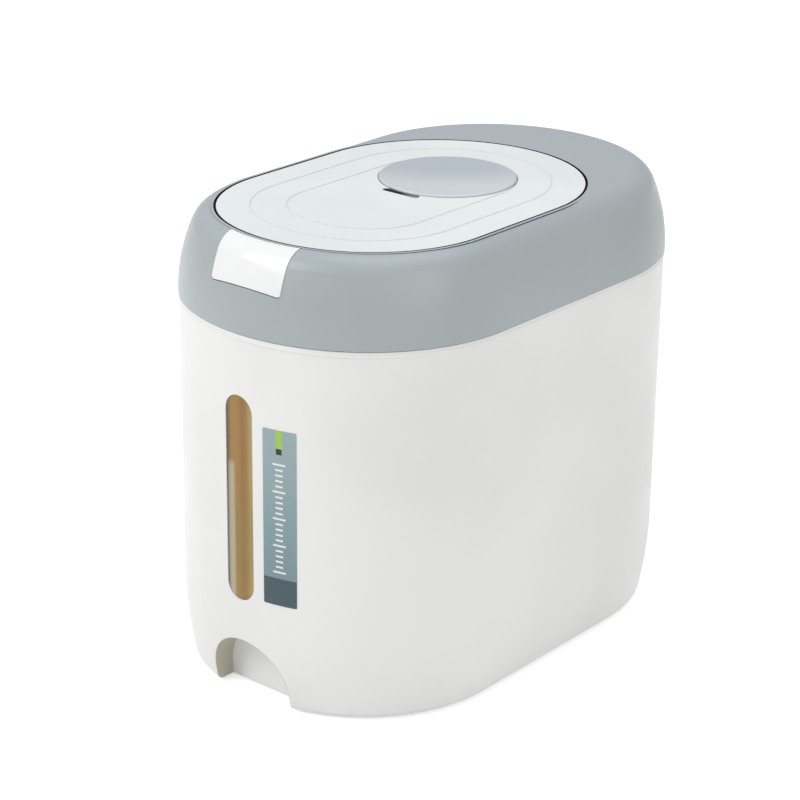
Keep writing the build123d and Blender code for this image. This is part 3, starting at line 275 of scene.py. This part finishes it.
# painted light: the paler near side of the disc
DISC_PAINTED_NEAR_LIGHT = srgb(206, 212, 219)
# painted shade: the warm grey of the pull recess's jambs
JAMB_PAINTED_SHADE = srgb(196, 192, 174)
# painted light: the paler back wall of the pull recess
RECESS_WALL_PAINTED_LIGHT = srgb(248, 249, 248)
# painted shade: dark in the gap around the lid, on the collar's wall and on the lid's side
GAP_PAINTED_SHADE = srgb(34, 38, 40)
# painted shadow: the deep end of the finger scoop
SCOOP_PAINTED_SHADE = srgb(26, 28, 30)


def recess_painted_light_and_shade(s, tint):
    """Painted shade on the jambs of the pull recess, warmer and duller than the body, and painted
    light on a paler back wall.

    The painted light has no limit toward the rear, so it shows on the rear wall of the bin too.
    """
    x, y, z = s.axes()
    reach = s.distance(x, s.past(z, (RECESS_TOP - RECESS_RADIUS) * MM))
    inside = s.spread(reach, RECESS_RADIUS * MM, (RECESS_RADIUS + 0.3) * MM, 1.0, 0.0)
    ahead = s.spread(y, (RECESS_BACK - 0.4) * MM, (RECESS_BACK - 0.1) * MM, 1.0, 0.0)
    # painted shade on the jambs, painted light on the back wall
    return s.mix(inside, tint, s.mix(ahead, RECESS_WALL_PAINTED_LIGHT, JAMB_PAINTED_SHADE))


def collar_painted_light_and_shade(s, tint):
    """Painted light: the flat rear part is a little bluer. Painted shade: the wall beside the lid
    is dark at its top.
    """
    z = s.axes()[2]
    # painted light: the flat rear part is tinted bluer by height
    tint = s.mix(s.spread(z, PLATEAU_LOW * MM, PLATEAU_HIGH * MM), tint, PLATEAU_PAINTED_TOP_LIGHT)
    # painted shade: the upright wall beside the lid is dark at its top
    facing = s.add("ShaderNodeSeparateXYZ")
    s.link(s.add("ShaderNodeTexCoord").outputs["Normal"], facing.inputs[0])
    upright = s.spread(s.math("ABSOLUTE", facing.outputs[2]), 0.2, 0.4, 1.0, 0.0)
    high = s.between(z, (LID_TOP - GAP_WALL) * MM, (LID_TOP + 1) * MM, 0.6 * MM)
    return s.mix(s.math("MULTIPLY", upright, high), tint, GAP_PAINTED_SHADE)


def lid_painted_shade(s, tint):
    """Painted shade: the lid's side, down in its gap, and the deep end of the finger scoop are
    painted dark.
    """
    x, y, z = s.axes()
    behind = s.past(y, LID_REAR_CENTRE * MM)
    ahead = s.past(LID_FRONT_CENTRE * MM, y)
    reach = s.distance(x, s.math("ADD", behind, ahead))
    # painted shade: the lid's side down in the gap is dark
    outer = s.spread(reach, LID_BAND * MM, (LID_BAND + 1) * MM)
    side = s.between(z, (LID_TOP - LID_SIDE) * MM, (LID_TOP - 0.15) * MM, 0.05 * MM)
    tint = s.mix(s.math("MULTIPLY", outer, side), tint, GAP_PAINTED_SHADE)
    # painted shadow: the deep end of the finger scoop, darkest at its left
    in_scoop = s.math(
        "MULTIPLY",
        s.between(y, (SCOOP_BACK - SCOOP_REACH) * MM, SCOOP_BACK * MM, 0.1 * MM),
        s.between(x, -(SCOOP_HALF_WIDTH + 1) * MM, SCOOP_HALF_WIDTH * MM, 0.1 * MM),
    )
    down = s.spread(z, SCOOP_DEEP * MM, SCOOP_SHALLOW * MM, 1.0, 0.0)
    in_scoop = s.math("MULTIPLY", in_scoop, down)
    deep = s.spread(x, -4 * MM, 6 * MM, 0.95, 0.45)
    return s.mix(s.math("MULTIPLY", in_scoop, deep), tint, SCOOP_PAINTED_SHADE)


def disc_painted_light(s, tint):
    """Painted light: the disc is painted paler toward the front right, where light falls across
    its dish.
    """
    x, y, _ = s.axes()
    away = s.math("SUBTRACT", s.math("MULTIPLY", y, 0.78), s.math("MULTIPLY", x, 0.63))
    return s.mix(s.spread(away, -12 * MM, 34 * MM), DISC_PAINTED_NEAR_LIGHT, tint)


paint(plastic("body_plastic", WHITE_BODY, 0.36, edge=0.7, shade=recess_painted_light_and_shade), "bin_body")
paint(plastic("frame_plastic", WHITE_BODY, 0.38), "window_retainer")
paint(plastic("collar_plastic", GREY_COLLAR, 0.34, shade=collar_painted_light_and_shade), "collar")
paint(plastic("tray_plastic", GREY_COLLAR, 0.42), "hinge_cover", "latch_housing")
paint(plastic("lid_plastic", WHITE_LID, 0.33, shade=lid_painted_shade), "lid_panel")
paint(
    plastic("button_plastic", WHITE_BUTTON, 0.16, edge=0.4, coat=0.5, uneven=0.02),
    "release_button",
)
paint(plastic("disc_plastic", DISC_FAR, 0.30, edge=0.0, shade=disc_painted_light), "repellent_cover")
paint(
    plastic("inner_plastic", WHITE_INNER, 0.42, grain=1000.0),
    "lid_liner", "lid_strike", "hinge_arm_left", "hinge_arm_right", "hinge_bracket",
    "latch_plate", "repellent_cup",
)
paint(
    rubber("silicone", srgb(205, 210, 210), 0.45, clear=0.25),
    "lid_gasket", "collar_seal", "window_gasket", "repellent_seal",
)
paint(rubber("foot_rubber", srgb(48, 49, 50), 0.75), "rubber_feet")
paint(
    metal("spring_steel", (0.58, 0.58, 0.57), 0.26),
    "lid_spring_left", "lid_spring_right", "latch_spring_left", "latch_spring_right",
    "hinge_pin", "hinge_pin_clip",
)
paint(
    metal("screw_steel", (0.62, 0.62, 0.60), 0.34),
    "liner_screws", "strike_screws", "arm_screws", "bracket_screws", "cover_screws",
    "housing_screws",
)


# The label's print, in millimetres.
FOOT_PRINT = 17.0
FOOT_MARGIN = 4.0
TAB_HEIGHT = 11.0
TAB_MARGIN = 6.0
SQUARE = 3.6
TICKS = 20
TICKS_PER_LONG = 5
TICK_LONG = 8.0
TICK_SHORT = 4.6
TICK_WIDTH = 1.1
CRISP = 0.08


def window_material():
    """Clear tinted window with the tan of grain behind it, in soft upright bands, with painted
    shade at its left edge, a painted highlight at its right edge and a painted reflection streak.
    """
    s = Shader("window_plastic")
    x, _, z = s.axes()
    # over the tan of grain: painted shade at the left edge and a painted highlight at the right
    # edge
    bands = s.ramp(
        s.spread(x, WINDOW_LEFT * MM, WINDOW_RIGHT * MM),
        [
            (0.0, srgb(76, 54, 12)),
            (0.10, srgb(150, 112, 30)),
            (0.45, srgb(156, 110, 16)),
            (0.66, srgb(138, 94, 8)),
            (0.86, srgb(150, 108, 14)),
            (1.0, srgb(176, 150, 86)),
        ],
    )
    low = s.between(z, 76 * MM, 130 * MM, 22 * MM)
    bands = s.mix(s.math("MULTIPLY", low, 0.35), bands, srgb(128, 114, 34))
    # painted reflection: a pale upright streak in the lower left of the window
    painted_reflection = s.between(x, -10.4 * MM, -5.6 * MM, 1.2 * MM)
    painted_reflection = s.math("MULTIPLY", painted_reflection, s.spread(z, 148 * MM, 154 * MM, 0.62, 0.0))
    bands = s.mix(painted_reflection, bands, srgb(190, 186, 168))
    cloud = s.noise(60.0, 4.0, 0.6)
    s.set(Base_Color=s.mix(s.spread(cloud, 0.3, 0.7, 0.0, 0.14), bands, srgb(172, 150, 98)))
    s.set(Roughness=s.spread(cloud, 0.3, 0.7, 0.07, 0.13))
    s.set(Normal=s.soft_edges(0.5 * MM))
    s.surface.inputs["Coat Weight"].default_value = 0.15
    s.surface.inputs["Coat Roughness"].default_value = 0.03
    s.surface.inputs["IOR"].default_value = PLASTIC_IOR
    return s


paint(window_material(), "window_lens")


def label_material():
    """Printed film: a teal grey gradient, a green tab, a dark square, a plain scale and a foot."""
    s = Shader("label_film")
    x, _, z = s.axes()
    left, right = span("level_label", 0)
    low, high = span("level_label", 2)
    middle = (left + right) / 2
    shade = s.ramp(
        s.spread(z, low, high),
        [
            (0.0, srgb(118, 143, 149)),
            (0.5, srgb(134, 158, 163)),
            (1.0, srgb(152, 174, 177)),
        ],
    )
    speck = s.noise(900.0, 2.0)
    shade = s.mix(s.spread(speck, 0.3, 0.7, 0.0, 0.10), shade, srgb(100, 124, 130))

    def printed(colour, x0, x1, z0, z1, under):
        across = s.between(x, x0, x1, CRISP * MM)
        upward = s.between(z, z0, z1, CRISP * MM)
        return s.mix(s.math("MULTIPLY", across, upward), under, colour)

    shade = printed(srgb(56, 80, 86), left, right, low, low + FOOT_PRINT * MM, shade)
    scale_low = low + (FOOT_PRINT + FOOT_MARGIN) * MM
    scale_high = high - (TAB_HEIGHT + SQUARE + TAB_MARGIN) * MM
    step = (scale_high - scale_low) / TICKS
    for tick in range(TICKS + 1):
        level = scale_low + tick * step
        reach = (TICK_SHORT if tick % TICKS_PER_LONG else TICK_LONG) * MM
        shade = printed(
            srgb(232, 238, 238), middle - reach / 2, middle + reach / 2,
            level - TICK_WIDTH * MM / 2, level + TICK_WIDTH * MM / 2, shade,
        )
    half = SQUARE / 2 * MM
    tab_low = high - TAB_HEIGHT * MM
    shade = printed(srgb(160, 200, 62), middle - half, middle + half, tab_low, high, shade)
    shade = printed(
        srgb(22, 30, 34), middle - half, middle + half, tab_low - SQUARE * MM, tab_low, shade
    )
    s.set(Base_Color=shade)
    s.set(Roughness=s.spread(speck, 0.3, 0.7, 0.22, 0.30))
    return s


paint(label_material(), "level_label")


# ---- the latch springs, which shorten toward the housing as the button is pressed, get meshes of their own ----
for spring in ("latch_spring_left", "latch_spring_right"):
    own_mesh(nodes[spring])


# ---- floor, backdrop and light ----
def make_floor():
    floor_mesh = bpy.data.meshes.new("floor")
    half = 6.0
    corners = [(-half, -half, 0), (half, -half, 0), (half, half, 0), (-half, half, 0)]
    floor_mesh.from_pydata(corners, [], [(0, 1, 2, 3)])
    floor = bpy.data.objects.new("floor", floor_mesh)
    bpy.context.scene.collection.objects.link(floor)
    s = Shader("floor_paper")
    speck = s.noise(300.0, 3.0)
    s.set(Base_Color=s.mix(s.spread(speck, 0.3, 0.7), (0.80, 0.80, 0.80), (0.82, 0.82, 0.82)))
    s.surface.inputs["Roughness"].default_value = 0.9
    s.surface.inputs["Specular IOR Level"].default_value = 0.0
    path = s.add("ShaderNodeLightPath")
    seen = s.math("MAXIMUM", path.outputs["Is Camera Ray"], path.outputs["Is Glossy Ray"])
    seen = s.math("MAXIMUM", seen, path.outputs["Is Transmission Ray"])
    s.set(Emission_Color=(1.0, 1.0, 1.0, 1.0))
    s.link(s.math("MULTIPLY", seen, 0.5), s.surface.inputs["Emission Strength"])
    floor_mesh.materials.append(s.material)


def make_world():
    """Even light on the part, and plain white where the camera sees past it."""
    world = bpy.data.worlds.new("world")
    bpy.context.scene.world = world
    world.use_nodes = True
    tree = world.node_tree
    tree.nodes.clear()
    out = tree.nodes.new("ShaderNodeOutputWorld")
    path = tree.nodes.new("ShaderNodeLightPath")
    light = tree.nodes.new("ShaderNodeBackground")
    light.inputs["Color"].default_value = (1.0, 1.0, 1.0, 1.0)
    light.inputs["Strength"].default_value = 0.55
    white = tree.nodes.new("ShaderNodeBackground")
    white.inputs["Color"].default_value = (1.0, 1.0, 1.0, 1.0)
    white.inputs["Strength"].default_value = 1.0
    either = tree.nodes.new("ShaderNodeMath")
    either.operation = "MAXIMUM"
    tree.links.new(path.outputs["Is Camera Ray"], either.inputs[0])
    tree.links.new(path.outputs["Is Transmission Ray"], either.inputs[1])
    blend = tree.nodes.new("ShaderNodeMixShader")
    tree.links.new(either.outputs[0], blend.inputs[0])
    tree.links.new(light.outputs[0], blend.inputs[1])
    tree.links.new(white.outputs[0], blend.inputs[2])
    tree.links.new(blend.outputs[0], out.inputs[0])


def area_light(name, place, aim, size, power):
    data = bpy.data.lights.new(name, "AREA")
    data.shape = "RECTANGLE"
    data.size, data.size_y = size
    data.energy = power
    lamp = bpy.data.objects.new(name, data)
    lamp.location = place
    lamp.rotation_mode = "QUATERNION"
    lamp.rotation_quaternion = (Vector(aim) - Vector(place)).to_track_quat("-Z", "Y")
    bpy.context.scene.collection.objects.link(lamp)


make_floor()
make_world()
area_light("key", (-0.9, -1.6, 1.5), (0, 0, 0.14), (1.2, 1.2), 19.0)
area_light("top", (0.1, 0.3, 1.9), (0, 0, 0.2), (1.4, 1.4), 8.5)
area_light("fill", (1.9, -0.4, 0.9), (0, 0, 0.14), (1.2, 1.0), 7.0)
make_camera()
bpy.context.scene.view_settings.view_transform = "Standard"
